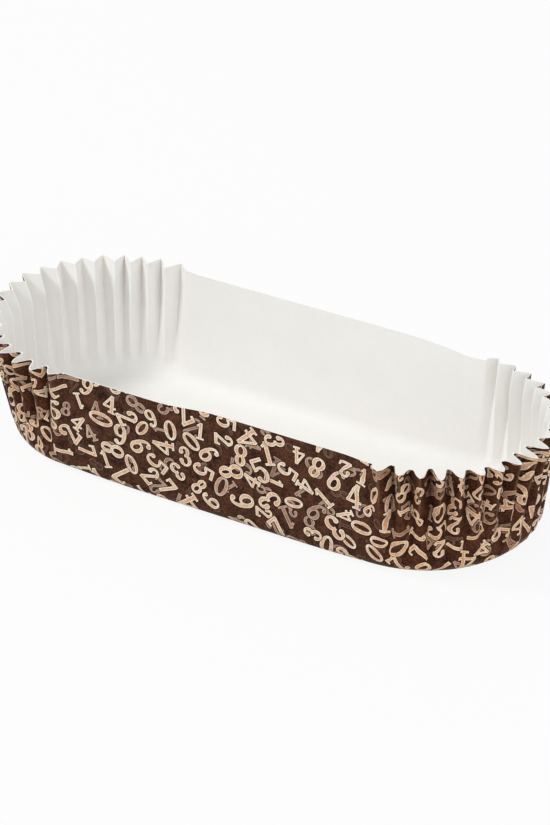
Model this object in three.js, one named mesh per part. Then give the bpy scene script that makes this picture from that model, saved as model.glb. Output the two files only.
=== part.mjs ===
// Boat-shaped paper baking cup: one sheet of greaseproof paper pressed into a tray with an open top.
// The base is flat, the two long walls are smooth, and each rounded end is gathered in accordion pleats.
// Sizes are in millimetres, +Z is up and the long side runs along X.
// The origin is the middle of the base, on the plane that the cup rests on.
import * as THREE from "three";

// Plan of the cup
const STRAIGHT_LENGTH = 90.2; // between the centres of the two rounded ends
const BASE_RADIUS = 27.7; // half width of the base, out to where base and wall would meet in a corner
const RIM_RADIUS = 30; // half width of the rim on the long walls

// Heights
const SIDE_HEIGHT = 30.3; // long walls
const END_RISE = 0.8; // how much higher the rim is round the ends
const RISE_LENGTH = 10; // length of rim over which it climbs from a long wall to an end

// Rounded edge between base and wall
const SIDE_EDGE_RADIUS = 3.5;
const END_EDGE_RADIUS = 6;
const EDGE_BLEND_LENGTH = 40; // length of wall over which one radius runs into the other

// Paper
const PAPER_THICKNESS = 0.3; // the wall of the solid, square to the paper

// Pleats
const PLEATS_PER_END = 19;
const PLEAT_DEPTH = 2.7; // from the outward folds to the inward folds, at the rim
const PLEAT_LEAD = 2.5; // how far the pleats run past each rounded end on to the long walls
const PLEAT_START = 2; // height at which the folds fade out above the base
const FOLD_OPENING = 0.7; // how far an inward fold opens outwards at the rim
const FOLD_OPENING_HEIGHT = 5; // it closes again this far below the rim

// Fineness of the mesh
const STOPS_IN_PLEAT = [0, 0.12, 0.3, 0.5, 0.7, 0.88];
const SIDE_STOPS = 5;
const EDGE_STEPS = 4;
const WALL_STEPS = 7;

const LEAN = Math.atan2(RIM_RADIUS - BASE_RADIUS, SIDE_HEIGHT);
const ARC_LENGTH = (RIM_RADIUS * Math.PI) / 2;
const HALF_END = ARC_LENGTH + PLEAT_LEAD;
const PITCH = (2 * HALF_END) / PLEATS_PER_END;

// Side of the zigzag at a distance along the rim: 1 on an outward fold, -1 on an inward fold.
// The wave meets the smooth long wall halfway between the two.
function zigzag(fromLongWall) {
  const turn = fromLongWall / PITCH;
  const side = 1 - 2 * Math.abs(2 * (turn - Math.floor(turn)) - 1);
  return turn < 0.5 ? 2 * turn : side;
}

// One upright station of the wall, at a distance along the rim from the middle of the end.
// It leans outwards from its anchor on the long axis, at its angle in plan.
function station(fromMiddle) {
  const past = fromMiddle - ARC_LENGTH;
  const fromLongWall = HALF_END - fromMiddle;
  const rise = THREE.MathUtils.smoothstep(fromLongWall, -RISE_LENGTH / 2, RISE_LENGTH / 2);
  const blend = THREE.MathUtils.smoothstep(fromLongWall, -EDGE_BLEND_LENGTH / 2, EDGE_BLEND_LENGTH / 2);
  return {
    anchor: STRAIGHT_LENGTH / 2 - Math.max(past, 0),
    angle: Math.min(fromMiddle / RIM_RADIUS, Math.PI / 2),
    side: fromLongWall > 0 ? zigzag(fromLongWall) : 0,
    pleated: fromLongWall > 0,
    height: SIDE_HEIGHT + END_RISE * rise,
    edgeRadius: THREE.MathUtils.lerp(SIDE_EDGE_RADIUS, END_EDGE_RADIUS, blend),
  };
}

// Stations of one quarter of the cup, from the middle of an end to the middle of a long wall.
function quarterStations() {
  const distances = [];
  for (let pleat = 0; pleat < PLEATS_PER_END; pleat += 1) {
    for (const stop of STOPS_IN_PLEAT) {
      distances.push(HALF_END - (pleat + stop) * PITCH);
    }
  }
  const quarter = distances.filter((distance) => distance > 1e-6 * PITCH).reverse();
  const straight = STRAIGHT_LENGTH / 2 - PLEAT_LEAD;
  for (let stop = 1; stop <= SIDE_STOPS; stop += 1) {
    quarter.push(HALF_END + (straight * stop) / SIDE_STOPS);
  }
  return [0, ...quarter].map(station);
}

// The whole ring of stations: the quarter, mirrored across the width and then across the length.
function ringStations() {
  const quarter = quarterStations();
  const acrossWidth = (it) => ({ ...it, anchor: -it.anchor, angle: Math.PI - it.angle });
  const acrossLength = (it) => ({ ...it, angle: -it.angle });
  const half = [...quarter, ...quarter.slice(0, -1).reverse().map(acrossWidth)];
  return [...half, ...half.slice(1, -1).reverse().map(acrossLength)];
}

// Distance outwards and height of one face of the paper at a station, without its pleats.
// The inset is how far that face lies inside the outer one.  Steps 0 to EDGE_STEPS go round the base
// edge, and the rest climb the wall.
function profile(at, step, inset) {
  const tangent = at.edgeRadius * Math.tan((Math.PI / 2 - LEAN) / 2);
  const middle = BASE_RADIUS - tangent;
  const turn = -Math.PI / 2 + (Math.PI / 2 - LEAN) * Math.min(step / EDGE_STEPS, 1);
  const reach = at.edgeRadius - inset;
  const out = middle + reach * Math.cos(turn);
  const up = at.edgeRadius + reach * Math.sin(turn);
  const share = Math.max(step - EDGE_STEPS, 0) / WALL_STEPS;
  const climb = (at.height - up) * share;
  return { out: out + climb * Math.tan(LEAN), up: up + climb };
}

// How far the pleats carry the paper outwards at a height.
function pleatOffset(at, up, inset) {
  if (!at.pleated) {
    return 0;
  }
  const growth = Math.max(up - PLEAT_START, 0) / (at.height - PLEAT_START);
  const depth = PLEAT_DEPTH * growth;
  const inward = (1 - at.side) / 2;
  const belowRim = (at.height - up) / FOLD_OPENING_HEIGHT;
  const opened = FOLD_OPENING * Math.max(inward - belowRim, 0);
  const steepness = (2 * depth) / PITCH;
  return (depth / 2) * at.side + opened - inset * (Math.hypot(1, steepness) - 1);
}

function point(at, step, inset) {
  const { out, up } = profile(at, step, inset);
  const reach = out + pleatOffset(at, up, inset);
  return [at.anchor + reach * Math.cos(at.angle), reach * Math.sin(at.angle), up];
}

// The closed sheet: up the outer face row by row, over the cut edge and down the inner face.
function sheetGeometry() {
  const ring = ringStations();
  const count = ring.length;
  const steps = EDGE_STEPS + WALL_STEPS;
  const rows = [];
  for (let step = 0; step <= steps; step += 1) {
    rows.push(ring.map((at) => point(at, step, 0)));
  }
  for (let step = steps; step >= 0; step -= 1) {
    rows.push(ring.map((at) => point(at, step, PAPER_THICKNESS)));
  }

  const triangles = [];
  const vertex = (row, column) => row * count + (column % count);
  for (let row = 0; row + 1 < rows.length; row += 1) {
    for (let column = 0; column < count; column += 1) {
      const a = vertex(row, column);
      const b = vertex(row, column + 1);
      const c = vertex(row + 1, column + 1);
      const d = vertex(row + 1, column);
      triangles.push(...(ring[column].angle > 0 ? [a, b, c, a, c, d] : [a, b, d, b, c, d]));
    }
  }
  triangles.push(...floorTriangles(0, count, true));
  triangles.push(...floorTriangles(rows.length - 1, count, false));

  const geometry = new THREE.BufferGeometry();
  geometry.setAttribute("position", new THREE.Float32BufferAttribute(rows.flat(2), 3));
  geometry.setIndex(triangles);
  geometry.computeVertexNormals();
  return geometry;
}

// Flat floor inside one row: strips between each station and the one across the long axis.
function floorTriangles(row, count, facesDown) {
  const triangles = [];
  const vertex = (column) => row * count + (column % count);
  for (let column = 0; column < count / 2; column += 1) {
    const here = [vertex(column), vertex(column + 1)];
    const across = [vertex(count - column), vertex(count - column - 1)];
    const corners = [here[0], here[1], across[1], across[0]];
    const fan = [[0, 1, 2], [0, 2, 3]].map((pick) => pick.map((index) => corners[index]));
    for (const triangle of fan.filter((it) => new Set(it).size === 3)) {
      triangles.push(...(facesDown ? triangle.reverse() : triangle));
    }
  }
  return triangles;
}

const paper = new THREE.MeshStandardMaterial({ color: 0xeeebe4, roughness: 0.85, metalness: 0 });
const cup = new THREE.Mesh(sheetGeometry(), paper);
cup.name = "paper_cup";

const part = new THREE.Group();
part.name = "baking_cup";
part.add(cup);

export default part;
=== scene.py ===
"""Boat-shaped paper baking cup: its pleated sheet, its printed face, and the studio around it."""
import logging
import math
from dataclasses import dataclass, field
from enum import Enum
from typing import Any, Callable, Iterable, Mapping, Sequence

import bpy
import numpy as np
from mathutils import Matrix, Vector


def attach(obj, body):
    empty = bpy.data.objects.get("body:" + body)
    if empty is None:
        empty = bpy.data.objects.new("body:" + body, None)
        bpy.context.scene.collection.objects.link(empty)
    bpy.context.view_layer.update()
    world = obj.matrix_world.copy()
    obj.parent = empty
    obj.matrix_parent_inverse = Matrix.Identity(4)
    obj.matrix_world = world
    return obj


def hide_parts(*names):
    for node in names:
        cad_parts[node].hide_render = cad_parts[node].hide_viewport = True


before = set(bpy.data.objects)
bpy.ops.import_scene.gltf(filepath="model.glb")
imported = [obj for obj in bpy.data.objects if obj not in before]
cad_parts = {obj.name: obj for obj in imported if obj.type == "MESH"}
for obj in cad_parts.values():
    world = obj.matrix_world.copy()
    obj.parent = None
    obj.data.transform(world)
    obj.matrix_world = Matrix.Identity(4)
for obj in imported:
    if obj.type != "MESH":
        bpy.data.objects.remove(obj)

LOG = logging.getLogger("baking_cup")
MM = 0.001
NODE = "paper_cup"

Number = float | int
Pair = tuple[float, float]
Colour = tuple[float, float, float]


def linear(red: int, green: int, blue: int) -> Colour:
    """Turns a screen colour into the linear values that shaders use.

    Args:
        red: Red from 0 to 255.
        green: Green from 0 to 255.
        blue: Blue from 0 to 255.

    Returns:
        The three linear values.
    """
    def channel(value: int) -> float:
        """Linear value of one channel."""
        share = value / 255
        return share / 12.92 if share <= 0.04045 else ((share + 0.055) / 1.055) ** 2.4

    return channel(red), channel(green), channel(blue)


@dataclass(frozen=True)
class Grain:
    """Fineness of a noise.

    Attributes:
        size: Size of its spots in metres.
        detail: Number of finer layers.
        roughness: Strength of the finer layers.
    """

    size: float
    detail: float = 2
    roughness: float = 0.5


FIBRES = Grain(0.5 * MM, 3, 0.7)


class Signal:
    """An output socket of a node tree, whose operators add Math nodes to the tree."""

    def __init__(self, graph: "Graph", socket: bpy.types.NodeSocket) -> None:
        """Wraps one socket.

        Args:
            graph: The graph that holds the socket's node.
            socket: The output socket.
        """
        self.graph = graph
        self.socket = socket

    def __add__(self, other: "Term") -> "Signal":
        """Sum."""
        return self.graph.math("ADD", self, other)

    __radd__ = __add__

    def __sub__(self, other: "Term") -> "Signal":
        """Difference."""
        return self.graph.math("SUBTRACT", self, other)

    def __rsub__(self, other: "Term") -> "Signal":
        """Difference, from a number."""
        return self.graph.math("SUBTRACT", other, self)

    def __mul__(self, other: "Term") -> "Signal":
        """Product."""
        return self.graph.math("MULTIPLY", self, other)

    __rmul__ = __mul__

    def __truediv__(self, other: "Term") -> "Signal":
        """Quotient."""
        return self.graph.math("DIVIDE", self, other)

    def __rtruediv__(self, other: "Term") -> "Signal":
        """Quotient, of a number."""
        return self.graph.math("DIVIDE", other, self)

    def __pow__(self, other: "Term") -> "Signal":
        """Power."""
        return self.graph.math("POWER", self, other)

    def __mod__(self, other: "Term") -> "Signal":
        """Remainder."""
        return self.graph.math("MODULO", self, other)

    def __neg__(self) -> "Signal":
        """Negative."""
        return self.graph.math("MULTIPLY", self, -1)

    def __abs__(self) -> "Signal":
        """Absolute value."""
        return self.graph.math("ABSOLUTE", self)

    def __gt__(self, other: "Term") -> "Signal":
        """One where this is greater, zero elsewhere."""
        return self.graph.math("GREATER_THAN", self, other)

    def __lt__(self, other: "Term") -> "Signal":
        """One where this is less, zero elsewhere."""
        return self.graph.math("LESS_THAN", self, other)

    def at_least(self, other: "Term") -> "Signal":
        """The greater of the two."""
        return self.graph.math("MAXIMUM", self, other)

    def at_most(self, other: "Term") -> "Signal":
        """The lesser of the two."""
        return self.graph.math("MINIMUM", self, other)

    def share(self) -> "Signal":
        """This, kept between 0 and 1."""
        return self.at_least(0).at_most(1)

    def towards(self, other: "Term", amount: "Term") -> "Signal":
        """Moves this by a share of the way to another value."""
        return self + (other - self) * amount

    def smooth(self, low: Number, high: Number) -> "Signal":
        """Goes smoothly from 0 at the low value to 1 at the high value.

        Args:
            low: Value that gives 0.
            high: Value that gives 1.

        Returns:
            The smoothed share.
        """
        at = ((self - low) / (high - low)).share()
        return at * at * (3 - 2 * at)


Term = Signal | Number


class Graph:
    """A node tree that is written as expressions."""

    NUMBERS = ("DOT_PRODUCT", "DISTANCE", "LENGTH")
    FIRST_COLOUR, SECOND_COLOUR, MIXED_COLOUR = 6, 7, 2

    def __init__(self, tree: bpy.types.NodeTree) -> None:
        """Starts on a tree.

        Args:
            tree: The shader or geometry tree to fill.
        """
        self.tree = tree
        self.material: bpy.types.Material | None = None

    @classmethod
    def of_material(cls, name: str) -> "Graph":
        """Starts the graph of a new material, without any node."""
        made = bpy.data.materials.new(name)
        made.use_nodes = True
        made.node_tree.nodes.clear()
        graph = cls(made.node_tree)
        graph.material = made
        return graph

    def feed(self, socket: bpy.types.NodeSocket, value: Any) -> None:
        """Links a signal to an input socket, or sets the socket's own value.

        Args:
            socket: The input socket.
            value: A signal, a number, a colour, a vector or a data block.
        """
        if isinstance(value, Signal):
            self.tree.links.new(value.socket, socket)
        elif isinstance(value, bpy.types.NodeSocket):
            self.tree.links.new(value, socket)
        elif isinstance(value, tuple) and socket.type == "RGBA":
            socket.default_value = (*value, 1)
        else:
            socket.default_value = value

    def node(
        self, kind: str, settings: Mapping[str, Any] | None = None, inputs: Mapping[Any, Any] | None = None
    ) -> bpy.types.Node:
        """Adds one node.

        Args:
            kind: The node's type name.
            settings: Its settings, which are made first.
            inputs: Values or links of its sockets, by name or number.

        Returns:
            The new node.
        """
        made = self.tree.nodes.new(kind)
        for name, value in (settings or {}).items():
            setattr(made, name, value)
        for key, value in (inputs or {}).items():
            self.feed(made.inputs[key], value)
        return made

    def out(self, node: bpy.types.Node, key: str | int = 0) -> Signal:
        """Wraps one output of a node."""
        return Signal(self, node.outputs[key])

    def math(self, operation: str, *terms: Term) -> Signal:
        """Adds one Math node.

        Args:
            operation: The node's operation.
            terms: Its one to three values.

        Returns:
            The result.
        """
        node = self.node("ShaderNodeMath", {"operation": operation}, dict(enumerate(terms)))
        return self.out(node)

    def mix(self, factor: Term, first: Any, second: Any, blend: str = "MIX") -> Signal:
        """Mixes two colours.

        Args:
            factor: Share of the second.
            first: The first colour.
            second: The second colour.
            blend: Way in which they are mixed.

        Returns:
            The mixed colour.
        """
        settings = {"data_type": "RGBA", "blend_type": blend}
        inputs = {0: factor, self.FIRST_COLOUR: first, self.SECOND_COLOUR: second}
        return self.out(self.node("ShaderNodeMix", settings, inputs), self.MIXED_COLOUR)

    def combine(self, x: Term, y: Term, z: Term) -> Signal:
        """Makes a vector of three values."""
        return self.out(self.node("ShaderNodeCombineXYZ", None, {0: x, 1: y, 2: z}))

    def vector(self, operation: str, *terms: Any) -> Signal:
        """Adds one Vector Math node.

        Args:
            operation: The node's operation.
            terms: Its vectors.

        Returns:
            The result, which is a number for a dot product, a distance or a length.
        """
        node = self.node("ShaderNodeVectorMath", {"operation": operation}, dict(enumerate(terms)))
        return self.out(node, "Value" if operation in self.NUMBERS else "Vector")

    def split(self, vector: Any) -> tuple[Signal, Signal, Signal]:
        """Takes a vector or a colour apart."""
        node = self.node("ShaderNodeSeparateXYZ", None, {0: vector})
        return self.out(node, 0), self.out(node, 1), self.out(node, 2)

    def turn(self, vector: Signal, angle: Term) -> Signal:
        """Turns a vector about Z."""
        inputs = {"Vector": vector, "Angle": angle}
        return self.out(self.node("ShaderNodeVectorRotate", {"rotation_type": "Z_AXIS"}, inputs))

    def attribute(self, name: str, key: str) -> Signal:
        """Reads an attribute of the mesh in a shader."""
        return self.out(self.node("ShaderNodeAttribute", {"attribute_name": name}), key)

    def noise(self, place: Signal, grain: Grain) -> Signal:
        """Adds smooth noise.

        Args:
            place: Vector at which the noise is read, in metres.
            grain: Its fineness.

        Returns:
            Noise around 0, mostly between -1 and 1.
        """
        inputs = {
            "Vector": place, "Scale": 1 / grain.size, "Detail": grain.detail, "Roughness": grain.roughness,
        }
        return (self.out(self.node("ShaderNodeTexNoise", None, inputs), "Fac") - 0.5) * 4

    def finish(
        self, colour: Signal, roughness: float, specular: float, normal: bpy.types.NodeSocket
    ) -> bpy.types.Material:
        """Ends a material's graph in one plain surface.

        Args:
            colour: Colour of the surface.
            roughness: Its roughness.
            specular: Strength of its gloss.
            normal: Output that holds its normals.

        Returns:
            The material.
        """
        inputs = {
            "Base Color": colour, "Roughness": roughness, "Specular IOR Level": specular, "Normal": normal,
        }
        shader = self.node("ShaderNodeBsdfPrincipled", None, inputs)
        self.node("ShaderNodeOutputMaterial", None, {"Surface": shader.outputs[0]})
        return self.material


class Side(Enum):
    """Faces of the paper, with their material slots."""

    PRINTED = 0
    WHITE = 1


@dataclass(frozen=True)
class Bar:
    """A straight stroke of a numeral, in heights of the numeral about its middle.

    Attributes:
        start: Start of its middle line.
        end: End of its middle line.
        width: Its width.
    """

    start: Pair
    end: Pair
    width: float

    def outside(self, graph: Graph, spot: Signal) -> Signal:
        """Measures how far a spot lies outside the stroke.

        Args:
            graph: The graph to write in.
            spot: The spot.

        Returns:
            The distance, less than 0 inside.
        """
        length = math.dist(self.start, self.end)
        run_x, run_y = ((last - first) / length for first, last in zip(self.start, self.end))
        middle_x, middle_y = ((first + last) / 2 for first, last in zip(self.start, self.end))
        along = graph.vector("DOT_PRODUCT", spot, (run_x, run_y, 0))
        along = along - (run_x * middle_x + run_y * middle_y)
        across = graph.vector("DOT_PRODUCT", spot, (-run_y, run_x, 0))
        across = across - (run_x * middle_y - run_y * middle_x)
        return (abs(along) - length / 2).at_least(abs(across) - self.width / 2)


@dataclass(frozen=True)
class Ball:
    """A round end of a stroke, in heights of the numeral about its middle.

    Attributes:
        middle: Its middle.
        radius: Its radius.
    """

    middle: Pair
    radius: float = 0.09

    def outside(self, graph: Graph, spot: Signal) -> Signal:
        """Measures how far a spot lies outside the ball."""
        return graph.vector("DISTANCE", spot, (*self.middle, 0)) - self.radius


@dataclass(frozen=True)
class Bow:
    """A curved stroke of a numeral, thick at its sides and thin at its top and foot.

    All lengths are in heights of the numeral about its middle.

    Attributes:
        middle: Middle of its oval.
        radii: Half width and half height of the oval, out to the edge of the stroke.
        gap: Left, right, lower and upper limit of a box in which the oval is cut away, or None.
        kept: Whether the box instead holds what stays.
        width: Width of the stroke at its sides and at its top.
    """

    middle: Pair
    radii: Pair
    gap: tuple[float, float, float, float] | None = None
    kept: bool = False
    width: Pair = (0.15, 0.065)

    def outside(self, graph: Graph, spot: Signal) -> Signal:
        """Measures how far a spot lies outside the stroke.

        Args:
            graph: The graph to write in.
            spot: The spot.

        Returns:
            The distance, less than 0 inside.
        """
        local = graph.vector("SUBTRACT", spot, (*self.middle, 0))
        hole = (self.radii[0] - self.width[0], self.radii[1] - self.width[1])
        ring = self._oval(graph, local, self.radii).at_least(-self._oval(graph, local, hole))
        if self.gap is None:
            return ring
        left, right, low, high = self.gap
        centre = ((left + right) / 2, (low + high) / 2, 0)
        half = ((right - left) / 2, (high - low) / 2, 0)
        apart = graph.vector("ABSOLUTE", graph.vector("SUBTRACT", spot, centre))
        beside, beyond, _ = graph.split(graph.vector("SUBTRACT", apart, half))
        box = beside.at_least(beyond)
        return ring.at_least(box if self.kept else -box)

    def _oval(self, graph: Graph, local: Signal, radii: Pair) -> Signal:
        """Measures how far a place lies outside an oval."""
        share = graph.vector("LENGTH", graph.vector("DIVIDE", local, (*radii, 1)))
        return (share - 1) * ((radii[0] + radii[1]) / 2)


Stroke = Bar | Ball | Bow

NUMERALS: tuple[tuple[Stroke, ...], ...] = (
    (Bow((0, 0), (0.29, 0.5)),),
    (
        Bar((0.02, -0.48), (0.02, 0.5), 0.15),
        Bar((-0.19, -0.465), (0.23, -0.465), 0.07),
        Bar((-0.17, 0.3), (0.06, 0.47), 0.08),
    ),
    (
        Bow((0, 0.21), (0.27, 0.29), (-1, 1, 0.2, 1), kept=True),
        Ball((-0.18, 0.19)),
        Bar((0.2, 0.24), (-0.2, -0.4), 0.11),
        Bar((-0.27, -0.435), (0.29, -0.435), 0.13),
        Bar((0.26, -0.5), (0.3, -0.24), 0.07),
    ),
    (
        Bow((0, 0.24), (0.24, 0.26), (-1, 0, -1, 0.25)),
        Ball((-0.16, 0.23)),
        Bow((0, -0.21), (0.28, 0.29), (-1, 0, -0.22, 1)),
        Ball((-0.2, -0.22)),
    ),
    (
        Bar((0.12, 0.5), (-0.31, -0.15), 0.08),
        Bar((-0.34, -0.17), (0.32, -0.17), 0.09),
        Bar((0.12, 0.5), (0.12, -0.48), 0.15),
        Bar((-0.06, -0.465), (0.3, -0.465), 0.07),
    ),
    (
        Bar((-0.21, 0.44), (0.26, 0.44), 0.12),
        Bar((-0.19, 0.46), (-0.21, 0.02), 0.08),
        Bow((0, -0.17), (0.29, 0.33), (-1, 0, -0.3, 0.03)),
        Ball((-0.18, -0.3)),
    ),
    (
        Bow((0, -0.2), (0.28, 0.3)),
        Bow((0.1, -0.14), (0.38, 0.64), (-1, 0.2, -0.14, 1), kept=True),
        Ball((0.19, 0.37)),
    ),
    (
        Bar((-0.28, 0.43), (0.29, 0.43), 0.14),
        Bar((-0.26, 0.5), (-0.28, 0.22), 0.07),
        Bar((0.22, 0.4), (-0.08, -0.5), 0.15),
    ),
    (Bow((0, 0.24), (0.23, 0.26)), Bow((0, -0.22), (0.28, 0.28))),
)


@dataclass
class NumeralPrint:
    """Rule of one layer of loose numerals on the flat sheet, as a node group.

    The sheet is divided into squares, and each square holds one numeral of its own kind, height, place
    and turn.  A six stands for a nine as well, since every numeral is turned its own way.

    Attributes:
        spread: Radius that a numeral needs as it turns, in its heights.
        apart: Distance that is added to a numeral which a square doesn't hold, in heights.
        second_draw: Step of the seed between the two sets of draws of a square.
        kinds: Number of kinds, less a trace, so that the highest draw still gives the last kind.
        group: The node group.
    """

    INPUTS = ("Place", "Turn", "Shift", "Seed", "Cell", "Least", "Greatest")
    OUTPUTS = ("Outside", "Chance")

    spread: float = 0.58
    apart: float = 4.0
    second_draw: float = 0.5
    kinds: float = len(NUMERALS) - 0.001
    group: bpy.types.NodeTree = field(init=False, repr=False)

    def __post_init__(self) -> None:
        """Writes the group."""
        self.group = bpy.data.node_groups.new("numerals", "ShaderNodeTree")
        for name in self.INPUTS:
            kind = "NodeSocketVector" if name == "Place" else "NodeSocketFloat"
            self.group.interface.new_socket(name, in_out="INPUT", socket_type=kind)
        for name in self.OUTPUTS:
            self.group.interface.new_socket(name, in_out="OUTPUT", socket_type="NodeSocketFloat")
        graph = Graph(self.group)
        node = graph.node("NodeGroupInput")
        place, turn, shift, seed, cell, least, greatest = (graph.out(node, name) for name in self.INPUTS)
        spot = graph.vector("DIVIDE", graph.turn(place, turn), graph.combine(cell, cell, 1))
        spot = graph.vector("ADD", spot, graph.combine(shift, shift, 0))
        corner = graph.vector("FLOOR", spot)
        stray_x, stray_y, angle = self._draw(graph, corner, seed)
        size, kind, chance = self._draw(graph, corner, seed + self.second_draw)
        height = least + (greatest - least) * size
        room = cell / 2 - height * self.spread
        within = graph.vector("SUBTRACT", graph.vector("SUBTRACT", spot, corner), (0.5, 0.5, 0))
        within = graph.vector("MULTIPLY", within, graph.combine(cell, cell, 0))
        stray = graph.combine((stray_x * 2 - 1) * room, (stray_y * 2 - 1) * room, 0)
        local = graph.turn(graph.vector("SUBTRACT", within, stray), angle * math.tau)
        local = graph.vector("DIVIDE", local, graph.combine(-height, height, 1))
        outside = self._numeral(graph, local, graph.math("FLOOR", kind * self.kinds))
        graph.node("NodeGroupOutput", None, {"Outside": outside * height, "Chance": chance})

    def _draw(self, graph: Graph, corner: Signal, seed: Signal) -> tuple[Signal, Signal, Signal]:
        """Draws three numbers from 0 to 1 for a square.

        Args:
            graph: The group's graph.
            corner: Row and column of the square.
            seed: Number that the draws start from.

        Returns:
            The three numbers.
        """
        key = graph.vector("ADD", corner, graph.combine(0, 0, seed))
        node = graph.node("ShaderNodeTexWhiteNoise", {"noise_dimensions": "3D"}, {"Vector": key})
        return graph.split(node.outputs["Color"])

    def _numeral(self, graph: Graph, local: Signal, kind: Signal) -> Signal:
        """Measures how far a spot lies outside the numeral that a square holds.

        Args:
            graph: The group's graph.
            local: The spot, in heights of the numeral.
            kind: Number of the numeral in the list.

        Returns:
            The distance in heights, less than 0 inside.
        """
        nearest: Signal | None = None
        for number, strokes in enumerate(NUMERALS):
            shape = strokes[0].outside(graph, local)
            for stroke in strokes[1:]:
                shape = shape.at_most(stroke.outside(graph, local))
            shape = graph.math("MULTIPLY_ADD", abs(kind - number), self.apart, shape)
            nearest = shape if nearest is None else nearest.at_most(shape)
        return nearest


@dataclass(frozen=True)
class PrintInk:
    """One layer of numerals in the print.  Lengths are in millimetres.

    Attributes:
        seed: Number that its draws start from.
        turn: Turn of its rows of squares.
        shift: Shift of its squares, as a share of their side.
        cell: Side of its squares.
        height: Least and greatest height of a numeral.
        first: Colours of the rim and of the inside of a stroke, at low draws.
        second: The same at high draws.
        spread: Draws at which the first colours end and the second ones begin.
        cover: How much of the layer below a stroke hides.
        halo: Width of the dark line round a stroke.
        bold: How far the strokes spread on each side.
    """

    seed: int
    turn: float
    shift: float
    cell: float
    height: Pair
    first: tuple[Colour, Colour]
    second: tuple[Colour, Colour]
    spread: Pair
    cover: float
    halo: float
    bold: float


FAINT = (linear(118, 87, 72), linear(84, 57, 45))
MAUVE = (linear(208, 178, 158), linear(152, 116, 97))
CREAM = (linear(255, 239, 217), linear(214, 165, 126))
INKS = (
    PrintInk(
        seed=11, turn=-0.5, shift=0.2, cell=7.6, height=(4.2, 6.0), first=FAINT, second=MAUVE,
        spread=(0.25, 0.4), cover=0.9, halo=0.2, bold=0.08,
    ),
    PrintInk(
        seed=5, turn=0.35, shift=0.5, cell=8.3, height=(4.2, 6.4), first=MAUVE, second=CREAM,
        spread=(0.12, 0.22), cover=1.0, halo=0.28, bold=0.11,
    ),
    PrintInk(
        seed=3, turn=0.35, shift=0.0, cell=8.3, height=(4.8, 6.8), first=CREAM, second=CREAM,
        spread=(0, 1), cover=1.0, halo=0.28, bold=0.12,
    ),
)


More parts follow.
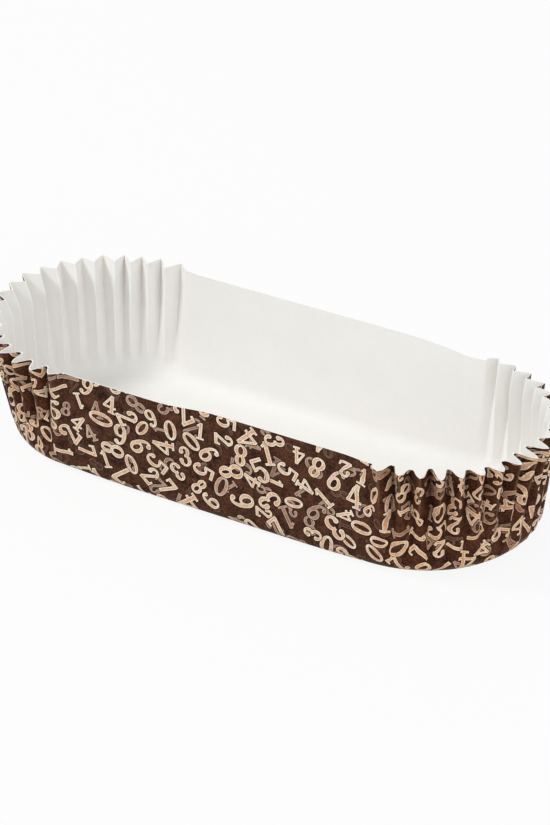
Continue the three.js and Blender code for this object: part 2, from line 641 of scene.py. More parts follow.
@dataclass(frozen=True)
class PrintedPaper:
    """Brown printed face of the paper.

    Attributes:
        ground: Dark and light tone of the brown ground.
        tone: Middle of the ground's tone, and how far the mottle and the fibres move it.
        outline: Colour of the dark printed line round the strokes, and of the painted shade in the valleys
            between the pleats.
        painted_valley_shade: Strength of that painted shade in the valleys.
        valley_fade: How far in a fold lies where that painted shade begins and where it is full.
        painted_ridge_highlight: Colour of the painted highlight on the pleats' ridges.
        ridge: Strength of that painted highlight on the ridges.
        ridge_fade: How far out a fold lies where that painted highlight begins and where it is full.
        warm: Tint that the print takes where the paper is crumpled.
        mottle: Fineness of the ground's mottle.
        soften: Half width over which a stroke's edge fades, in millimetres.
        ragged: How far the fibres shift a stroke's edge, in millimetres.
        line: Strength of the dark line round the strokes.
        line_fade: Where that line fades outwards, as shares of an ink's halo.
        rim: How deep in a stroke its pale rim ends and its inside is full, in millimetres.
        inside: How much of a stroke's inner colour shows by depth, by the fibres and by the mottle.
        roughness: Roughness of the face.
        specular: Strength of its gloss.
        relief: Height of the fibres.
        relief_strength: Strength of that height in the shading.
    """

    ground: tuple[Colour, Colour] = (linear(38, 19, 11), linear(102, 65, 47))
    tone: tuple[float, float, float] = (0.45, 0.5, 0.6)
    # The outline colour is print round the strokes, and also painted shade in the pleats' valleys.
    outline: Colour = linear(27, 12, 6)
    painted_valley_shade: float = 0.8
    valley_fade: Pair = (0.25, 1)
    # Painted highlight on the pleats' ridges.
    painted_ridge_highlight: Colour = linear(226, 188, 152)
    ridge: float = 0.12
    ridge_fade: Pair = (0.6, 1)
    warm: Colour = (1.0, 0.89, 0.79)
    mottle: Grain = Grain(3.5 * MM, 4, 0.65)
    soften: float = 0.05
    ragged: float = 0.03
    line: float = 0.85
    line_fade: Pair = (0.4, 1.3)
    rim: Pair = (0.15, 0.29)
    inside: tuple[float, float, float] = (0.8, 0.6, 0.35)
    roughness: float = 0.6
    specular: float = 0.06
    relief: float = 0.08 * MM
    relief_strength: float = 0.25

    def material(self, numerals: NumeralPrint) -> bpy.types.Material:
        """Builds the material.

        Args:
            numerals: Rule of a layer of numerals.

        Returns:
            The printed face.
        """
        graph = Graph.of_material("printed_face")
        place = graph.out(graph.node("ShaderNodeTexCoord"), "Object")
        mottle = graph.noise(place, self.mottle)
        fibre = graph.noise(place, FIBRES)
        middle, by_mottle, by_fibre = self.tone
        tone = (middle + by_mottle * mottle + by_fibre * fibre).share()
        colour = graph.mix(tone, self.ground[0], self.ground[1])
        sheet = graph.vector("MULTIPLY", graph.attribute("print_place", "Vector"), (1 / MM, 1 / MM, 0))
        for ink in INKS:
            inputs = {
                "Place": sheet, "Turn": ink.turn, "Shift": ink.shift, "Seed": ink.seed, "Cell": ink.cell,
                "Least": ink.height[0], "Greatest": ink.height[1],
            }
            layer = graph.node("ShaderNodeGroup", {"node_tree": numerals.group}, inputs)
            outside = graph.out(layer, "Outside") + fibre * self.ragged - ink.bold
            colour = self._lay(graph, colour, ink, outside, graph.out(layer, "Chance"), (fibre, mottle))
        crease = graph.attribute("crease", "Fac")
        # Painted shade: darkens the print in the valleys of the pleats.
        colour = graph.mix((-crease).smooth(*self.valley_fade) * self.painted_valley_shade, colour, self.outline)
        # Painted highlight: lightens the print on the ridges of the pleats.
        colour = graph.mix(crease.smooth(*self.ridge_fade) * self.ridge, colour, self.painted_ridge_highlight)
        crumpled = graph.attribute("crumpled", "Fac").share()
        colour = graph.mix(crumpled, colour, self.warm, blend="MULTIPLY")
        inputs = {"Strength": self.relief_strength, "Distance": self.relief, "Height": fibre}
        bump = graph.node("ShaderNodeBump", None, inputs)
        return graph.finish(colour, self.roughness, self.specular, bump.outputs[0])

    def _lay(
        self, graph: Graph, below: Signal, ink: PrintInk, outside: Signal, chance: Signal,
        grain: tuple[Signal, Signal],
    ) -> Signal:
        """Lays one ink over the colour below it.

        Args:
            graph: The material's graph.
            below: Colour so far.
            ink: The layer.
            outside: Distance outside its strokes.
            chance: Number from 0 to 1 of the numeral.
            grain: Fine and coarse noise.

        Returns:
            The colour with the ink.
        """
        full, gone = self.line_fade
        near = 1 - outside.smooth(ink.halo * full, ink.halo * gone)
        below = graph.mix(near * self.line * ink.cover, below, self.outline)
        pale = chance.smooth(*ink.spread)
        edge = graph.mix(pale, ink.first[0], ink.second[0])
        core = graph.mix(pale, ink.first[1], ink.second[1])
        shallow, deep = self.rim
        by_depth, by_fibre, by_mottle = self.inside
        depth = 1 - outside.smooth(-deep, -shallow)
        inner = (depth * by_depth + grain[0] * by_fibre + grain[1] * by_mottle).share()
        filled = 1 - outside.smooth(-self.soften, self.soften)
        return graph.mix(filled * ink.cover, below, graph.mix(inner, edge, core))


@dataclass(frozen=True)
class WhitePaper:
    """White face and cut edge of the paper.

    Attributes:
        tone: Colour of the paper.
        shade: Colour of its faint cloudiness.
        shading: Middle of that cloudiness, and how far the clouds and the fibres move it.
        clouds: Fineness of the clouds.
        painted_valley_shade: Colour of the painted shade down in the valleys between the pleats.
        valley_strength: Strength of that painted shade.
        valley_fade: How far out a fold lies where that painted shade begins and where it is full.
        cut_edge_and_ridge_highlight: Colour of its cut edge, and of the painted highlight on the pleats'
            ridges.
        cut_sharpness: How fast that colour fades away from the middle of the edge.
        ridge_fade: How far in a fold lies where the painted highlight on the ridges begins and where it is
            full.
        roughness: Roughness of the face.
        specular: Strength of its gloss.
        relief: Height of the fibres and the clouds.
        relief_strength: Strength of that height in the shading.
        relief_shares: Shares of the fibres and of the clouds in it.
    """

    tone: Colour = linear(250, 249, 246)
    shade: Colour = linear(244, 242, 238)
    shading: tuple[float, float, float] = (0.35, 0.2, 0.3)
    clouds: Grain = Grain(9 * MM, 3, 0.6)
    # Painted shade in the pleats' valleys.
    painted_valley_shade: Colour = linear(228, 224, 217)
    valley_strength: float = 0.25
    valley_fade: Pair = (0, 0.9)
    # Colour of the cut edge, also used as painted highlight on the pleats' ridges.
    cut_edge_and_ridge_highlight: Colour = linear(254, 254, 252)
    cut_sharpness: float = 5.0
    ridge_fade: Pair = (0.7, 1)
    roughness: float = 0.75
    specular: float = 0.3
    relief: float = 0.06 * MM
    relief_strength: float = 0.2
    relief_shares: Pair = (0.5, 0.8)

    def material(self) -> bpy.types.Material:
        """Builds the material.

        Returns:
            The white face.
        """
        graph = Graph.of_material("white_face")
        place = graph.out(graph.node("ShaderNodeTexCoord"), "Object")
        cloud = graph.noise(place, self.clouds)
        fibre = graph.noise(place, FIBRES)
        middle, by_cloud, by_fibre = self.shading
        shade = (middle + by_cloud * cloud + by_fibre * fibre).share()
        across = graph.attribute("inside", "Fac")
        edge = ((1 - abs(2 * across - 1)) * self.cut_sharpness).share()
        crease = graph.attribute("crease", "Fac")
        colour = graph.mix(shade, self.tone, self.shade)
        # Painted shade: greys the white face in the valleys of the pleats.
        colour = graph.mix(crease.smooth(*self.valley_fade) * self.valley_strength, colour, self.painted_valley_shade)
        # Cut edge colour along the rim, and painted highlight on the ridges of the pleats.
        colour = graph.mix(edge.at_least((-crease).smooth(*self.ridge_fade)), colour, self.cut_edge_and_ridge_highlight)
        height = fibre * self.relief_shares[0] + cloud * self.relief_shares[1]
        inputs = {"Strength": self.relief_strength, "Distance": self.relief, "Height": height}
        bump = graph.node("ShaderNodeBump", None, inputs)
        return graph.finish(colour, self.roughness, self.specular, bump.outputs[0])


@dataclass(frozen=True)
class Dent:
    """A stretch of rim where handling has pushed the paper out of its true shape.

    Attributes:
        place: Its middle in plan.
        reach: Distance from there at which it ends; it is full up to half of that.
        out: How far it pushes the rim outwards.
        up: How far it lifts the rim.
        slide: How far it shifts the folds round the end, towards the near side.
        deeper: How much deeper it makes the pleats, as a share.
        soft: How far the paper is crumpled, from 0 to 1: rounder and less even folds, whose grooves fade
            out lower down the wall, and a warped, warmer print.
        opened: How much more the inward folds open at the rim, as a share.
        crest: How much higher the inward folds stand than the outward ones.
    """

    PUSHES = ("out", "up", "slide", "deeper", "soft", "opened", "crest")

    place: Pair
    reach: float
    out: float = 0.0
    up: float = 0.0
    slide: float = 0.0
    deeper: float = 0.0
    soft: float = 0.0
    opened: float = 0.0
    crest: float = 0.0


DENTS = (
    Dent((-64 * MM, 18 * MM), 40 * MM, out=0.35 * MM, up=0.75 * MM),
    Dent((-72 * MM, 12 * MM), 32 * MM, slide=-0.7 * MM, deeper=0.85, opened=1.4),
    Dent((-46 * MM, 31 * MM), 18 * MM, slide=0.9 * MM, deeper=0.5, opened=-0.6),
    Dent((-2 * MM, 30 * MM), 48 * MM, out=1.0 * MM, up=0.5 * MM),
    Dent((50 * MM, 28 * MM), 16 * MM, up=-0.6 * MM),
    Dent((59 * MM, 27 * MM), 24 * MM, out=0.3 * MM, deeper=0.6, crest=0.9 * MM),
    Dent((-59 * MM, -26 * MM), 22 * MM, up=-1.3 * MM, deeper=0.9, soft=0.6),
    Dent((20 * MM, -30 * MM), 34 * MM, out=-1.2 * MM, up=0.6 * MM),
    Dent((63 * MM, -22 * MM), 36 * MM, deeper=0.9, soft=0.95),
    Dent((66 * MM, -24 * MM), 22 * MM, out=0.3 * MM, slide=-0.5 * MM),
    Dent((76 * MM, -4 * MM), 26 * MM, out=1.1 * MM),
    Dent((74 * MM, 0 * MM), 38 * MM, slide=1.5 * MM),
)


@dataclass
class PleatedSheet:
    """The one sheet of paper: flat base, rounded base edge, smooth long walls and pleated ends.

    Attributes:
        straight_length: Distance between the centres of the rounded ends.
        base_radius: Half width of the base, out to the corner that base and wall would make.
        rim_radius: Half width of the rim on the long walls.
        side_height: Height of the long walls.
        end_rise: How much higher the rim is round the ends.
        rise_length: Length of rim over which it climbs.
        side_edge: Radius of the base edge along the long walls.
        end_edge: Radius of the base edge round the ends.
        edge_blend: Length of wall over which one radius runs into the other.
        thickness: Thickness of the sheet.
        pleats: Number of pleats round an end.
        pleat_depth: Depth of a pleat at the rim.
        left_lead: How far the pleats run past the left end on to the long walls.
        right_lead: The same at the right end.
        pleat_start: Height at which the folds fade out.
        pleat_growth: Power by which the pleats deepen up the wall, and what crumpling adds to it.
        uneven: How much the depth of the pleats varies, as a share, and what crumpling adds to it.
        uneven_grain: Fineness of that variation round the rim.
        uneven_climb: How fast it changes up the wall, as a share of that round the rim.
        rounding: How round the folds are, from 0 to 1, at the rim and what is added at the foot.
        rounding_fade: Power by which that addition fades up the wall.
        crumpled_rounding: What crumpling adds to that, and how much less of it the outward folds take.
        crumpled_flattening: The same, for a second rounding on top.
        fold_opening: How far an inward fold opens at the rim.
        fold_opening_height: How far down that opening goes.
        wander: How far a fold strays along the rim.
        wander_grain: Fineness of that straying.
        rim_roughness: How far the rim strays in height.
        rim_grain: Fineness of that.
        crumple: How far the print is shifted where the paper is crumpled.
        crumple_grain: Fineness of that shift.
        crumple_edge: Half length of wall over which the crumpled look ends beside the pleats.
        noise_step: Shift between two noises that mustn't be alike.
        fold_ends: Growth of the pleats by which the painted shade and highlight of their folds are full,
            and
        what crumpling adds.
        right_toe: How far the lower wall bulges at the right end.
        left_toe: How far it draws in at the left end.
        toe_height: Height by which that bulge is full.
        toe_start: Distance from the middle of the cup at which it begins.
        toe_length: Length over which it grows.
        columns_in_pleat: Columns of the mesh in a pleat.
        columns_on_side: Columns of the mesh on half a long wall.
        outer_rows: Rows of the mesh under the base, round the edge and up the wall, outside.
        inner_rows: The same inside.
        join: Distance below which points of the mesh are joined.
        sharp_angle: Angle between two faces, in degrees, above which their edge is sharp.
        dents: What handling has done to the paper.
        tree: The rule of the sheet as a geometry tree.
    """

    TRACE = 0.01  # a face whose share of the inside is less lies on the outside

    straight_length: float = 90.2 * MM
    base_radius: float = 27.7 * MM
    rim_radius: float = 30 * MM
    side_height: float = 30.3 * MM
    end_rise: float = 0.8 * MM
    rise_length: float = 10 * MM
    side_edge: float = 3.5 * MM
    end_edge: float = 6 * MM
    edge_blend: float = 40 * MM
    thickness: float = 0.22 * MM
    pleats: int = 19
    pleat_depth: float = 2.7 * MM
    left_lead: float = 4.0 * MM
    right_lead: float = -0.9 * MM
    pleat_start: float = 2 * MM
    pleat_growth: Pair = (0.58, 0.5)
    uneven: Pair = (0.22, 0.2)
    uneven_grain: Grain = Grain(9 * MM)
    uneven_climb: float = 0.35
    rounding: Pair = (0.04, 0.4)
    rounding_fade: float = 4
    crumpled_rounding: Pair = (0.6, 0.4)
    crumpled_flattening: Pair = (0.7, 0.6)
    fold_opening: float = 0.7 * MM
    fold_opening_height: float = 5 * MM
    wander: float = 0.4 * MM
    wander_grain: Grain = Grain(12 * MM)
    rim_roughness: float = 0.12 * MM
    rim_grain: Grain = Grain(6 * MM)
    crumple: float = 1.3 * MM
    crumple_grain: Grain = Grain(6 * MM)
    crumple_edge: float = 5 * MM
    noise_step: float = 70 * MM
    fold_ends: Pair = (0.16, 0.7)
    right_toe: float = 1.4 * MM
    left_toe: float = 1.6 * MM
    toe_height: float = 4 * MM
    toe_start: float = 45 * MM
    toe_length: float = 22 * MM
    columns_in_pleat: int = 14
    columns_on_side: int = 40
    outer_rows: tuple[int, int, int] = (6, 10, 52)
    inner_rows: tuple[int, int, int] = (4, 8, 46)
    join: float = 1e-6
    sharp_angle: float = 20
    dents: tuple[Dent, ...] = DENTS
    tree: bpy.types.NodeTree = field(init=False, repr=False)

    @property
    def lean(self) -> float:
        """Angle of the walls from upright."""
        return math.atan2(self.rim_radius - self.base_radius, self.side_height)

    @property
    def pleated_columns(self) -> int:
        """Columns from the middle of an end to the end of its pleats."""
        return self.pleats * self.columns_in_pleat // 2

    def build(self, finishes: Mapping[Side, bpy.types.Material]) -> bpy.types.Object:
        """Makes the sheet as a plain mesh.

        Args:
            finishes: Material of each face of the paper.

        Returns:
            The sheet.
        """
        self.tree = bpy.data.node_groups.new("pleated_sheet", "GeometryNodeTree")
        self.tree.is_modifier = True
        self._write_tree(Graph(self.tree), finishes)
        carrier = bpy.data.objects.new("sheet_rule", bpy.data.meshes.new("sheet_rule"))
        bpy.context.scene.collection.objects.link(carrier)
        modifier = carrier.modifiers.new("pleated_sheet", "NODES")
        modifier.node_group = self.tree
        for item in self.tree.interface.items_tree:
            if item.in_out == "INPUT" and item.socket_type != "NodeSocketGeometry":
                modifier[item.identifier] = getattr(self, item.name.lower().replace(" ", "_"))
        evaluated = carrier.evaluated_get(bpy.context.evaluated_depsgraph_get())
        mesh = bpy.data.meshes.new_from_object(evaluated)
        mesh.name = "baking_cup_sheet"
        sheet = bpy.data.objects.new("baking_cup_sheet", mesh)
        bpy.context.scene.collection.objects.link(sheet)
        bpy.data.objects.remove(carrier)
        return sheet

    def _write_tree(self, graph: Graph, finishes: Mapping[Side, bpy.types.Material]) -> None:
        """Writes the rule of the sheet as a geometry tree.

        A flat grid is bent into the sheet.  Its columns go once round the rim, from the middle of one end.
        Its rows go from the middle of the base outwards, up the outside, over the cut edge, down the
        inside and back to the middle.

        Args:
            graph: The empty tree.
            finishes: Material of each face of the paper.
        """
        sizes = ("Pleat Depth", "Fold Opening", "Wander", "End Rise", "Thickness")
        for name in sizes:
            graph.tree.interface.new_socket(name, in_out="INPUT", socket_type="NodeSocketFloat")
        graph.tree.interface.new_socket("Sheet", in_out="OUTPUT", socket_type="NodeSocketGeometry")
        given = graph.node("NodeGroupInput")
        size = {name: graph.out(given, name) for name in sizes}

        columns = 4 * (self.pleated_columns + self.columns_on_side)
        last_row = sum(self.outer_rows) + sum(self.inner_rows) + 1
        counts = {
            "Size X": columns, "Size Y": last_row, "Vertices X": columns + 1, "Vertices Y": last_row + 1,
        }
        grid = graph.node("GeometryNodeMeshGrid", None, counts)
        cell_x, cell_y, _ = graph.split(graph.node("GeometryNodeInputPosition").outputs[0])
        column = graph.math("ROUND", cell_x + columns / 2)
        row = graph.math("ROUND", cell_y + last_row / 2)

        inside = row > sum(self.outer_rows) + 0.5
        outer_shares = self._row_shares(row, self.outer_rows)
        inner_shares = self._row_shares(last_row - row, self.inner_rows)
        shares = [outer.towards(inner, inside) for outer, inner in zip(outer_shares, inner_shares)]
        ring = self._ring(graph, column, columns)
        outline = self._profile(graph, ring, shares, inside * size["Thickness"], size["End Rise"])
        folds = self._folds(ring, outline, size)
        place = self._place(graph, ring, outline, folds, size, inside)
        stored = grid.outputs["Mesh"]
        for name, value in self._sheet_places(graph, ring, outline, folds).items():
            settings = {"data_type": "FLOAT_VECTOR", "domain": "POINT"}
            inputs = {"Geometry": stored, "Name": name, "Value": value}
            stored = graph.node("GeometryNodeStoreNamedAttribute", settings, inputs).outputs[0]
        # The crease attribute carries the painted shade in the valleys and the painted highlight on the
        # ridges.
        drawn, later = self.fold_ends
        crease = ring["zigzag"] * (folds["growth"] / (drawn + later * ring["soft"])).smooth(0, 1)
        crumpled = ring["soft"] * ring["from_wall"].smooth(-self.crumple_edge, self.crumple_edge)
        for name, value in (("inside", inside), ("crease", crease), ("crumpled", crumpled)):
            settings = {"data_type": "FLOAT", "domain": "POINT"}
            inputs = {"Geometry": stored, "Name": name, "Value": value}
            stored = graph.node("GeometryNodeStoreNamedAttribute", settings, inputs).outputs[0]
        bent = graph.node("GeometryNodeSetPosition", None, {"Geometry": stored, "Position": place})
        inputs = {"Geometry": bent.outputs[0], "Distance": self.join}
        closed = graph.node("GeometryNodeMergeByDistance", None, inputs)
        self._finish_tree(graph, closed.outputs[0], finishes)

    def _finish_tree(
        self, graph: Graph, mesh: bpy.types.NodeSocket, finishes: Mapping[Side, bpy.types.Material]
    ) -> None:
        """Shades the sheet, and gives its two faces their materials.

        Args:
            graph: The tree.
            mesh: The closed sheet.
            finishes: Material of each face of the paper.
        """
        smooth = graph.node("GeometryNodeSetShadeSmooth", {"domain": "FACE"}, {"Geometry": mesh})
        bend = graph.out(graph.node("GeometryNodeInputMeshEdgeAngle"), "Unsigned Angle")
        folded = bend > math.radians(self.sharp_angle)
        inputs = {"Geometry": smooth.outputs[0], "Selection": folded, "Shade Smooth": False}
        sharp = graph.node("GeometryNodeSetShadeSmooth", {"domain": "EDGE"}, inputs)
        real = graph.node("GeometryNodeRealizeInstances", None, {"Geometry": sharp.outputs[0]})
        named = graph.node("GeometryNodeInputNamedAttribute", {"data_type": "FLOAT"}, {"Name": "inside"})
        outside = graph.out(named, "Attribute") < self.TRACE
        inputs = {"Geometry": real.outputs[0], "Material": finishes[Side.PRINTED]}
        printed = graph.node("GeometryNodeSetMaterial", None, inputs)
        inputs = {
            "Geometry": printed.outputs[0], "Selection": 1 - outside, "Material": finishes[Side.WHITE],
        }
        white = graph.node("GeometryNodeSetMaterial", None, inputs)
        graph.node("NodeGroupOutput", None, {"Sheet": white.outputs[0]})

    def _row_shares(self, row: Signal, rows: tuple[int, int, int]) -> list[Signal]:
        """Shares of the base, the rounded edge and the wall that lie before a row."""
        base, edge, wall = rows
        return [(row / base).share(), ((row - base) / edge).share(), ((row - base - edge) / wall).share()]

    def _ring(self, graph: Graph, column: Signal, columns: int) -> dict[str, Signal]:
        """Works out where on the rim a column stands, and what the dents do there.

        Args:
            graph: The tree.
            column: Number of the column.
            columns: Number of columns.

        Returns:
            By name: the signs of the quarter, the length of the pleated half end ("half_end"), the length
            of a pleat ("pitch"), the distances from the middle of the end ("along") and from the long wall,
            the number of pleats from that wall ("turn"), whether it is the first half pleat, the side of
            the zigzag, whether there are pleats, the place in plan, and the push of the dents.
        """
        half = columns / 2
        folded = column % half
        quarter = folded.at_most(half - folded)
        sign_x = (abs(column - half) > columns / 4) * 2 - 1
        sign_y = 1 - (column > half) * 2
        lead = (self.right_lead + self.left_lead) / 2 + sign_x * ((self.right_lead - self.left_lead) / 2)
        half_end = lead + self.rim_radius * math.pi / 2
        side_step = (self.straight_length / 2 - lead) / self.columns_on_side
        along = quarter.at_most(self.pleated_columns) * (half_end / self.pleated_columns)
        along = along + (quarter - self.pleated_columns).at_least(0) * side_step
        turn = (self.pleated_columns - quarter) / self.columns_in_pleat
        wave = 1 - 2 * abs(2 * (turn - graph.math("FLOOR", turn)) - 1)
        first = turn < 0.5
        pleated = turn > 0
        plan = self._plan(graph, along)
        x = sign_x * (plan["anchor"] + self.rim_radius * plan["cos"])
        y = sign_y * self.rim_radius * plan["sin"]
        push = self._push(graph, graph.combine(x, y, 0))
        return {
            "sign_x": sign_x, "sign_y": sign_y, "half_end": half_end, "pitch": half_end * (2 / self.pleats),
            "along": along - sign_y * push["slide"], "from_wall": half_end - along, "turn": turn,
            "first": first, "zigzag": wave.towards(2 * turn, first).at_least(-1) * pleated,
            "pleated": pleated, "x": x, "y": y, **push,
        }

    def _push(self, graph: Graph, rim: Signal) -> dict[str, Signal]:
        """Adds up what the dents do at a place of the rim.

        Args:
            graph: The tree.
            rim: The place in plan.

        Returns:
            The sum of each kind of push, by the name that it has in a dent.
        """
        push: dict[str, Any] = dict.fromkeys(Dent.PUSHES, 0.0)
        for dent in self.dents:
            apart = graph.vector("DISTANCE", rim, (*dent.place, 0))
            share = 1 - apart.smooth(dent.reach / 2, dent.reach)
            for name in push:
                amount = getattr(dent, name)
                if amount:
                    push[name] = share * amount + push[name]
        return push

    def _plan(self, graph: Graph, along: Signal) -> dict[str, Signal]:
        """Anchor on the long axis and direction outwards, at a distance from the middle of the end."""
        arc = self.rim_radius * math.pi / 2
        angle = (along / self.rim_radius).at_most(math.pi / 2)
        return {
            "anchor": self.straight_length / 2 - (along - arc).at_least(0),
            "cos": graph.math("COSINE", angle),
            "sin": graph.math("SINE", angle),
        }

    def _profile(
        self, graph: Graph, ring: Mapping[str, Signal], shares: Sequence[Signal], inset: Signal,
        rise: Signal,
    ) -> dict[str, Signal]:
        """Works out the section of the sheet at a column, without its pleats.

        Args:
            graph: The tree.
            ring: Place on the rim.
            shares: Shares of the base, edge and wall that lie before the row.
            inset: How far the face lies inside the outer one.
            rise: How much higher the rim is round the ends.

        Returns:
            Distance outwards, height, height of the rim, and length of paper from the long axis.
        """
        base, edge, wall = shares
        climb = ring["from_wall"].smooth(-self.rise_length / 2, self.rise_length / 2)
        blend = ring["from_wall"].smooth(-self.edge_blend / 2, self.edge_blend / 2)
        top = self.side_height + rise * climb
        radius = self.side_edge + (self.end_edge - self.side_edge) * blend
        bend = math.pi / 2 - self.lean
        middle = self.base_radius - radius * math.tan(bend / 2)
        turn = edge * bend - math.pi / 2
        reach = radius - inset
        out = middle * base + reach * graph.math("COSINE", turn)
        up = radius + reach * graph.math("SINE", turn)
        left = (top - up) * wall
        return {
            "out": out + left * math.tan(self.lean),
            "up": up + left,
            "top": top,
            "paper": middle * base + radius * bend * edge + left / math.cos(self.lean),
        }

    def _folds(
        self, ring: Mapping[str, Signal], outline: Mapping[str, Signal], size: Mapping[str, Signal]
    ) -> dict[str, Signal]:
        """Works out how the pleats grow up the wall.

        Args:
            ring: Place on the rim.
            outline: Section at the column.
            size: Sizes that the tree is given.

        Returns:
            Growth from 0 at the foot to 1 at the rim, and depth and steepness of the pleats.
        """
        growth = ((outline["up"] - self.pleat_start) / (outline["top"] - self.pleat_start)).share()
        power, crumpled = self.pleat_growth
        depth = size["Pleat Depth"] * growth ** (power + crumpled * ring["soft"])
        depth = depth * (1 + ring["deeper"] * growth)
        return {"growth": growth, "depth": depth, "steep": depth * 2 / ring["pitch"]}

    def _place(
        self, graph: Graph, ring: Mapping[str, Signal], outline: Mapping[str, Signal],
        folds: Mapping[str, Signal], size: Mapping[str, Signal], inside: Signal,
    ) -> Signal:
        """Works out the place of a point of the sheet, with its pleats and dents.

        Args:
            graph: The tree.
            ring: Place on the rim.
            outline: Section at the column.
            folds: Growth of the pleats.
            size: Sizes that the tree is given.
            inside: One on the inner face.

        Returns:
            The place.
        """
        up, top, growth = outline["up"], outline["top"], folds["growth"]
        spot = graph.combine(ring["x"], ring["y"], up * self.uneven_climb)
        varied = self.uneven[0] + self.uneven[1] * ring["soft"]
        uneven = 1 + varied * graph.noise(spot, self.uneven_grain)
        wave = self._wave(graph, ring, growth)
        side = ring["zigzag"]
        below = (top - up) / self.fold_opening_height
        opened = size["Fold Opening"] * (1 + ring["opened"]) * ((1 - side) / 2 - below).at_least(0)
        steep = folds["steep"]
        thinned = inside * size["Thickness"] * (graph.math("SQRT", 1 + steep * steep) - 1)
        offset = (folds["depth"] * uneven * 0.5 * wave + opened - thinned) * ring["pleated"]
        left_end = (-ring["x"] - self.toe_start).smooth(0, self.toe_length)
        right_end = (ring["x"] - self.toe_start).smooth(0, self.toe_length)
        low = (1 - up / top).share() * (up / self.toe_height).share()
        toe = (right_end * self.right_toe - left_end * self.left_toe) * low
        reach = outline["out"] + offset + toe + ring["out"] * growth
        spot = graph.combine(ring["x"], ring["y"], up * 0.5 + self.noise_step)
        stray = size["Wander"] * graph.noise(spot, self.wander_grain)
        along = ring["along"] + stray * growth * ring["sign_x"] * ring["sign_y"] * ring["pleated"]
        plan = self._plan(graph, along)
        spot = graph.combine(ring["x"], ring["y"], 0)
        rough = self.rim_roughness * graph.noise(spot, self.rim_grain)
        rough = rough + ring["crest"] * (0.5 - side / 2)
        height = up + rough * growth * growth * ring["pleated"] + ring["up"] * (up / top)
        x = ring["sign_x"] * (plan["anchor"] + reach * plan["cos"])
        y = ring["sign_y"] * reach * plan["sin"]
        return graph.combine(x, y, height)

    def _wave(self, graph: Graph, ring: Mapping[str, Signal], growth: Signal) -> Signal:
        """Rounds the folds of the zigzag: at the foot, and where the paper is crumpled.

        Args:
            graph: The tree.
            ring: Place on the rim.
            growth: Growth of the pleats up the wall.

        Returns:
            The wave, from -1 on an inward fold to 1 on an outward fold.
        """
        side = ring["zigzag"]
        rim, foot = self.rounding
        more, outward = self.crumpled_rounding
        soft = rim + foot * (1 - growth) ** self.rounding_fade + ring["soft"] * (more - outward * side)
        wave = side.towards(graph.math("SINE", side * (math.pi / 2)), soft.share())
        more, outward = self.crumpled_flattening
        flat = (ring["soft"] * (more - outward * side)).share()
        return wave.towards(graph.math("SINE", wave * (math.pi / 2)), flat)

    def _sheet_places(
        self, graph: Graph, ring: Mapping[str, Signal], outline: Mapping[str, Signal],
        folds: Mapping[str, Signal],
    ) -> dict[str, Signal]:
        """Works out where a point of the cup lies on the flat sheet.

        Each pleat shows its own stretch of the print at true scale, and an inward fold hides the rest.

        Args:
            graph: The tree.
            ring: Place on the rim.
            outline: Section at the column.
            folds: Growth of the pleats.

        Returns:
            Place by attribute name: "print_place" in the print, with its hidden and warped stretches,
            and "sheet_place" on the sheet as it is laid flat, without them.
        """
        paper, steep = outline["paper"], folds["steep"]
        length = paper.at_least(1 * MM)  # never 0, as it divides
        shown = outline["out"] / length * graph.math("SQRT", 1 + steep * steep)
        tip = (graph.math("FLOOR", ring["turn"]) + 0.5) * ring["pitch"]
        kept = 1 - (1 - shown.share()) * ring["pleated"] * (1 - ring["first"])
        stretch = tip + (ring["from_wall"] - tip) * kept
        slid = ring["sign_y"] * ring["slide"]
        spot = graph.combine(ring["x"], ring["y"], outline["up"])
        aside = graph.combine(ring["x"], ring["y"], outline["up"] + self.noise_step)
        crumple = ring["soft"] * folds["growth"] * self.crumple
        stretch = stretch + crumple * graph.noise(spot, self.crumple_grain)
        print_paper = paper + crumple * graph.noise(aside, self.crumple_grain)
        result = {}
        for name, distance, out in (
            ("print_place", ring["half_end"] - stretch - slid, print_paper),
            ("sheet_place", ring["along"], paper),
        ):
            plan = self._plan(graph, distance)
            x = ring["sign_x"] * (plan["anchor"] + out * plan["cos"])
            y = ring["sign_y"] * out * plan["sin"]
            result[name] = graph.combine(x, y, 0)
        return result


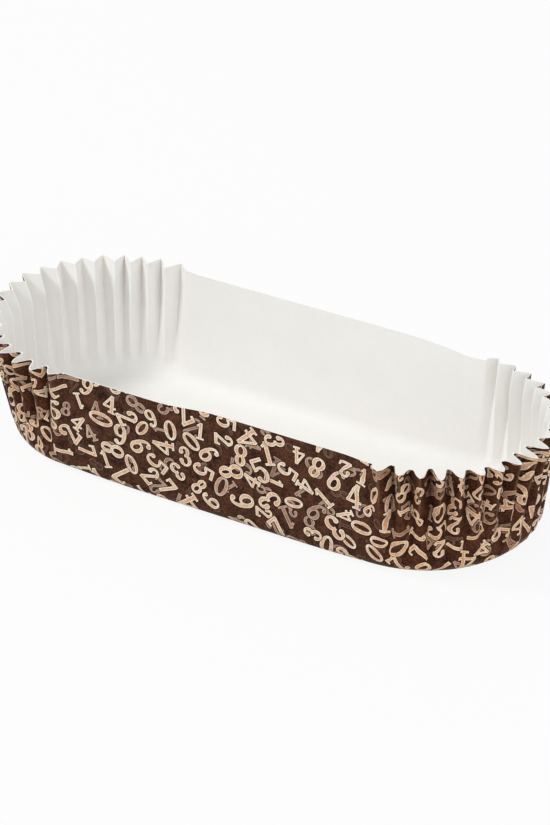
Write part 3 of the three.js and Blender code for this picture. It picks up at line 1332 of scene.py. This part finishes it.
@dataclass
class BakingCup:
    """The whole cup: the pleated sheet with its print.

    Attributes:
        sheet: Rule of the sheet.
        numerals: Rule of the print.
        map_margin: Margin round each face in the texture map, as a share of the map.
        white_share: Share of its room in the map that the white face fills.
        lip: How much larger the outer side of the cut edge is laid in the map.
    """

    sheet: PleatedSheet = field(default_factory=PleatedSheet)
    numerals: NumeralPrint = field(default_factory=NumeralPrint)
    map_margin: float = 0.004
    white_share: float = 0.99
    lip: float = 1.006

    def build(self) -> bpy.types.Object:
        """Makes the cup and puts it in place of its solid.

        Returns:
            The cup.
        """
        finishes = {
            Side.PRINTED: PrintedPaper().material(self.numerals),
            Side.WHITE: WhitePaper().material(),
        }
        cup = self.sheet.build(finishes)
        self._unwrap(cup.data)
        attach(cup, "root")
        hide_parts(NODE)
        LOG.info("cup: %d faces", len(cup.data.polygons))
        return cup

    def _read(self, mesh: bpy.types.Mesh, name: str, width: int) -> np.ndarray:
        """Reads a point attribute of a mesh.

        Args:
            mesh: The mesh.
            name: Name of the attribute.
            width: Count of numbers at a point: 3 for a vector, 1 for a number.

        Returns:
            One row of numbers for each point.
        """
        values = np.empty(len(mesh.vertices) * width, dtype=np.float32)
        mesh.attributes[name].data.foreach_get("vector" if width == 3 else "value", values)
        return values.reshape(-1, width).astype(float)

    def _unwrap(self, mesh: bpy.types.Mesh) -> None:
        """Lays both faces of the sheet flat, side by side, as the texture map.

        Args:
            mesh: The sheet.
        """
        places = self._read(mesh, "sheet_place", 3)[:, :2]
        extent = np.abs(places).max(axis=0)
        corner_vertex = np.empty(len(mesh.loops), dtype=np.int32)
        mesh.loops.foreach_get("vertex_index", corner_vertex)
        face_side = np.empty(len(mesh.polygons), dtype=np.int32)
        mesh.polygons.foreach_get("material_index", face_side)
        face_size = np.empty(len(mesh.polygons), dtype=np.int32)
        mesh.polygons.foreach_get("loop_total", face_size)
        white = np.repeat(face_side, face_size) == Side.WHITE.value
        inside = self._read(mesh, "inside", 1)[:, 0][corner_vertex]
        margin = self.map_margin
        printed_scale = (1 - 2 * margin) / (2 * extent[0])
        printed_height = printed_scale * 2 * extent[1]
        white_scale = (1 - 4 * margin - printed_height) / (2 * extent[1])
        corner = places[corner_vertex]
        lip = np.where(inside < 0.5, self.lip, 1.0)[:, None]
        printed_middle = np.array([0.5, margin + printed_height / 2])
        white_middle = np.array([0.5, 1 - margin - white_scale * extent[1]])
        flat = np.where(
            white[:, None],
            white_middle + corner * white_scale * self.white_share * lip,
            printed_middle + corner * printed_scale,
        )
        layer = mesh.uv_layers.new(name="OFBake")
        layer.data.foreach_set("uv", flat.astype(np.float32).ravel())


@dataclass(frozen=True)
class Lamp:
    """One square soft light, aimed at the cup.

    Attributes:
        name: Its name.
        place: Its place.
        size: Length of its side.
        power: Its power in watts.
    """

    name: str
    place: tuple[float, float, float]
    size: float
    power: float

    def hang(self) -> None:
        """Adds the light to the scene."""
        light = bpy.data.lights.new(self.name, "AREA")
        light.size = self.size
        light.energy = self.power
        lamp = bpy.data.objects.new(self.name, light)
        lamp.location = self.place
        lamp.rotation_euler = (-Vector(self.place)).to_track_quat("-Z", "Y").to_euler()
        bpy.context.scene.collection.objects.link(lamp)


@dataclass
class Studio:
    """Camera, lamps, pale floor and white surroundings.

    Attributes:
        azimuth: Direction of the camera round the cup, in degrees.
        elevation: Height of the camera above the level, in degrees.
        roll: Turn of the camera about its own axis, in degrees.
        distance: Distance of the camera from its aim.
        focal: Focal length in pixels of the frame.
        frame_height: Height of the frame in pixels.
        sensor: Height of the film.
        aim: Aim of the camera, to the right of and above the origin in its view.
        floor_reach: How far the floor goes from the cup.
        floor_gap: How far it lies below the cup's base, so that the two faces don't coincide.
        floor_tone: Colour of the floor as it catches light.
        floor_glow: Share of plain white in the floor where it is seen.
        white: Colour of the surroundings.
        surrounding_light: Strength of the surroundings as light.  They are seen at full strength.
        key: The main light, up on the left.
        fill: A weak light, low on the right.
    """

    azimuth: float = 29.7
    elevation: float = 30.44
    roll: float = 0.6
    distance: float = 774 * MM
    focal: float = 3046
    frame_height: int = 825
    sensor: float = 36
    aim: tuple[float, float] = (2.33 * MM, 14.08 * MM)
    floor_reach: float = 3.0
    floor_gap: float = 0.05 * MM
    floor_tone: Colour = (0.9, 0.9, 0.9)
    floor_glow: float = 0.9
    white: Colour = (1.0, 1.0, 1.0)
    surrounding_light: float = 0.55
    key: Lamp = Lamp("key", (-0.85, -0.5, 1.05), 0.35, 8.0)
    fill: Lamp = Lamp("fill", (1.0, -0.7, 0.5), 0.9, 3.8)

    def build(self) -> None:
        """Sets up the camera, the floor, the lamps and the world."""
        self._camera()
        self._floor()
        self.key.hang()
        self.fill.hang()
        self._world()

    def _camera(self) -> None:
        """Places the camera at the view of the photograph."""
        azimuth, elevation, roll = (math.radians(a) for a in (self.azimuth, self.elevation, self.roll))
        level = math.cos(elevation)
        back = Vector((math.sin(azimuth) * level, -math.cos(azimuth) * level, math.sin(elevation)))
        right = Vector((math.cos(azimuth), math.sin(azimuth), 0))
        above = back.cross(right)
        place = right * self.aim[0] + above * self.aim[1] + back * self.distance
        right_turned = right * math.cos(roll) + above * math.sin(roll)
        above_turned = above * math.cos(roll) - right * math.sin(roll)
        lens = bpy.data.cameras.new("camera")
        lens.sensor_fit = "VERTICAL"
        lens.sensor_height = self.sensor
        lens.lens = self.focal * self.sensor / self.frame_height
        lens.clip_start = 0.01
        camera = bpy.data.objects.new("camera", lens)
        turn = Matrix((right_turned, above_turned, back)).transposed().to_4x4()
        camera.matrix_world = Matrix.Translation(place) @ turn
        bpy.context.scene.collection.objects.link(camera)
        bpy.context.scene.camera = camera

    def _floor(self) -> None:
        """Lays the pale floor, which takes the cup's shadow."""
        reach, low = self.floor_reach, -self.floor_gap
        mesh = bpy.data.meshes.new("floor")
        corners = [(-reach, -reach, low), (reach, -reach, low), (reach, reach, low), (-reach, reach, low)]
        mesh.from_pydata(corners, [], [(0, 1, 2, 3)])
        graph = Graph.of_material("floor")
        matt = graph.node("ShaderNodeBsdfDiffuse", None, {"Color": self.floor_tone})
        glow = graph.node("ShaderNodeEmission", None, {"Color": self.white, "Strength": 1.0})
        share = self._seen(graph) * self.floor_glow
        inputs = {0: share, 1: matt.outputs[0], 2: glow.outputs[0]}
        blend = graph.node("ShaderNodeMixShader", None, inputs)
        graph.node("ShaderNodeOutputMaterial", None, {"Surface": blend.outputs[0]})
        mesh.materials.append(graph.material)
        floor = bpy.data.objects.new("floor", mesh)
        bpy.context.scene.collection.objects.link(floor)

    def _seen(self, graph: Graph) -> Signal:
        """One for a ray that shows the surroundings: from the camera, or by a mirror or glass."""
        path = graph.node("ShaderNodeLightPath")
        rays = [graph.out(path, name) for name in ("Is Camera Ray", "Is Glossy Ray", "Is Transmission Ray")]
        return rays[0].at_least(rays[1]).at_least(rays[2])

    def _world(self) -> None:
        """Surrounds the scene with soft white light."""
        world = bpy.data.worlds.new("studio")
        world.use_nodes = True
        world.node_tree.nodes.clear()
        graph = Graph(world.node_tree)
        strength = self.surrounding_light + (1 - self.surrounding_light) * self._seen(graph)
        inputs = {"Color": self.white, "Strength": strength}
        sky = graph.node("ShaderNodeBackground", None, inputs)
        graph.node("ShaderNodeOutputWorld", None, {"Surface": sky.outputs[0]})
        bpy.context.scene.world = world


def main() -> None:
    """Builds the cup and the studio."""
    logging.basicConfig(level=logging.INFO)
    bpy.context.scene.view_settings.view_transform = "Standard"
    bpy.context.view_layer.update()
    steps: dict[str, Callable[[], object]] = {"cup": BakingCup().build, "studio": Studio().build}
    for name, build in steps.items():
        build()
        LOG.info("built %s", name)


if __name__ == "__main__":
    main()
